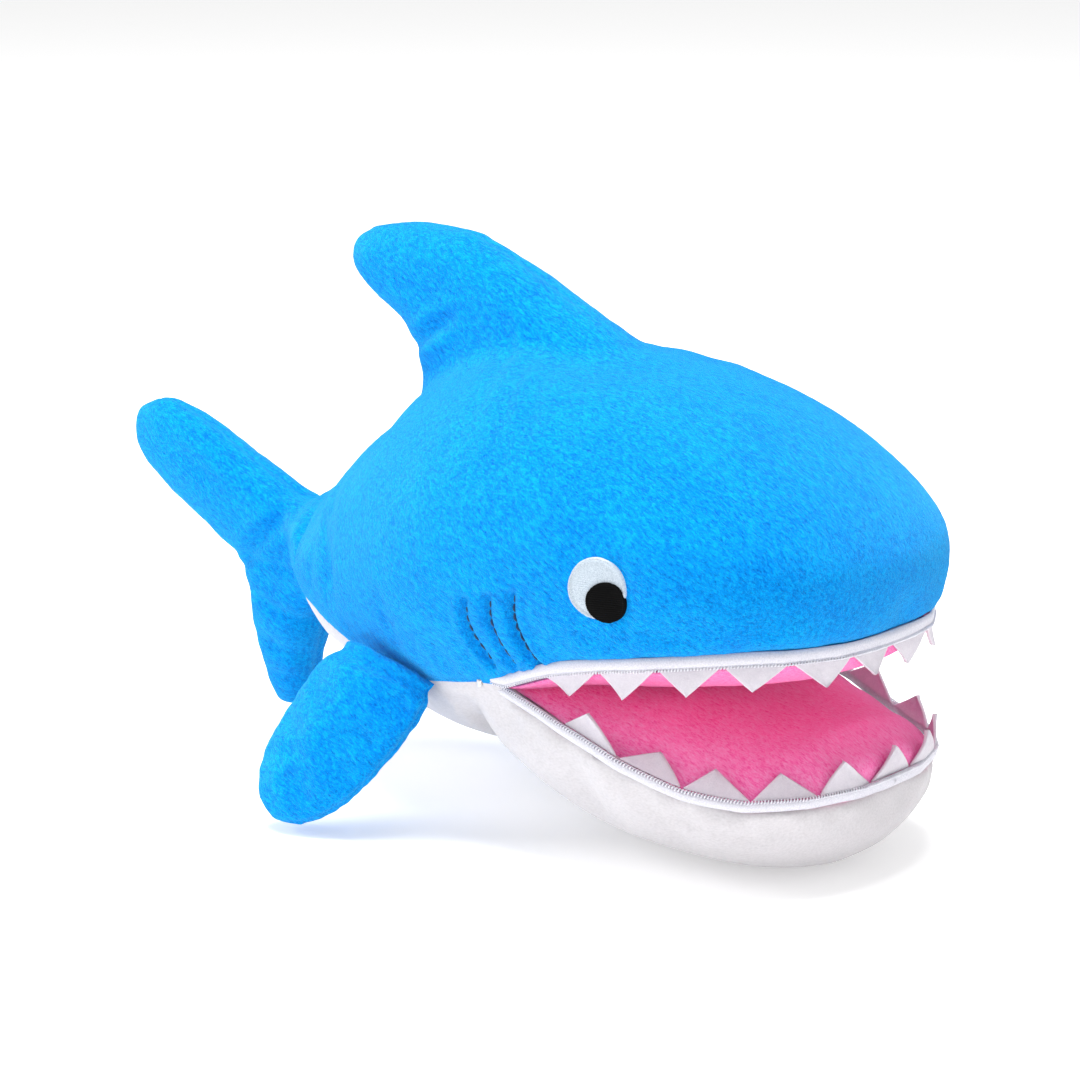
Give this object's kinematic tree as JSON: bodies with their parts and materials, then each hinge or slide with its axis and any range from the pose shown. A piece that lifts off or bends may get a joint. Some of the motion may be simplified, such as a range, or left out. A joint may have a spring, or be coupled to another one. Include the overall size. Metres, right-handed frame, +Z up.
{
  "type": "plush shark",
  "caption": "Stuffed plush shark with a zipped mouth that opens and closes, felt teeth, and soft fins and tail that bend at their roots.",
  "frame": {"origin": "on the floor under the middle of the shark's box, between its jaw and its pectoral fins", "axes": "+X towards the snout, +Y to the shark's left, +Z up"},
  "size_m": [0.4406, 0.2332, 0.2493],
  "materials": {
    "plush_blue": "short-pile plush",
    "minky_white": "minky",
    "lining_pink": "velour",
    "felt_white": "felt",
    "fibre_fill": "polyester fibre",
    "zip_tape": "woven polyester",
    "zip_coil": "nylon coil",
    "zip_metal": "nickel plated zinc",
    "thread_white": "satin stitch",
    "thread_black": "satin stitch",
    "thread_dark": "embroidery thread"
  },
  "bodies": {
    "trunk": {"right_back_panel": "plush_blue", "left_back_panel": "plush_blue", "belly_panel": "minky_white", "body_stuffing": "fibre_fill", "palate_lining": "lining_pink", "throat_roll": "lining_pink", "upper_zip_tape": "zip_tape", "upper_zip_coil": "zip_coil", "upper_teeth": "felt_white", "right_eye_white": "thread_white", "left_eye_white": "thread_white", "right_pupil": "thread_black", "left_pupil": "thread_black", "right_gill_stitches": "thread_dark", "left_gill_stitches": "thread_dark", "zip_slider": "zip_metal", "zip_end_stop": "zip_metal"},
    "lower_jaw": {"jaw_panel": "minky_white", "jaw_stuffing": "fibre_fill", "mouth_floor_lining": "lining_pink", "lower_zip_tape": "zip_tape", "lower_zip_coil": "zip_coil", "lower_teeth": "felt_white"},
    "dorsal_fin": {"dorsal_right_panel": "plush_blue", "dorsal_left_panel": "plush_blue", "dorsal_stuffing": "fibre_fill"},
    "tail_fin": {"tail_right_panel": "plush_blue", "tail_left_panel": "plush_blue", "tail_stuffing": "fibre_fill"},
    "right_fin": {"right_fin_outer_panel": "plush_blue", "right_fin_inner_panel": "plush_blue", "right_fin_stuffing": "fibre_fill"},
    "left_fin": {"left_fin_outer_panel": "plush_blue", "left_fin_inner_panel": "plush_blue", "left_fin_stuffing": "fibre_fill"},
    "zip_pull": {"zip_pull_tab": "zip_metal"}
  },
  "joints": [
    {"name": "jaw_hinge", "type": "hinge", "parent": "trunk", "child": "lower_jaw", "pos_m": [0.062, 0, 0.075], "axis": [0, 1, 0], "range_deg": [-22, 6], "stiffness_Nm_per_rad": 6, "deforming": ["mouth_floor_lining", "palate_lining", "upper_teeth", "lower_teeth"]},
    {"name": "right_fin_flap", "type": "hinge", "parent": "trunk", "child": "right_fin", "pos_m": [0.006, -0.07983, 0.071], "axis": [-0.9744, 0, 0.225], "range_deg": [-10, 40], "stiffness_Nm_per_rad": 3},
    {"name": "left_fin_flap", "type": "hinge", "parent": "trunk", "child": "left_fin", "pos_m": [0.006, 0.07983, 0.071], "axis": [0.9744, 0, -0.225], "range_deg": [-10, 40], "stiffness_Nm_per_rad": 3},
    {"name": "tail_wag", "type": "hinge", "parent": "trunk", "child": "tail_fin", "pos_m": [-0.098, 0, 0.103], "axis": [0, 0, 1], "range_deg": [-25, 25], "stiffness_Nm_per_rad": 0.8},
    {"name": "dorsal_bend", "type": "hinge", "parent": "trunk", "child": "dorsal_fin", "pos_m": [0.012, 0, 0.17872], "axis": [0.9297, 0, 0.3682], "range_deg": [-12, 12], "stiffness_Nm_per_rad": 0.8},
    {"name": "pull_swing", "type": "hinge", "parent": "trunk", "child": "zip_pull", "pos_m": [0.062, 0.09368, 0.075], "axis": [0, 0, -1], "range_deg": [0, 160]}
  ]
}
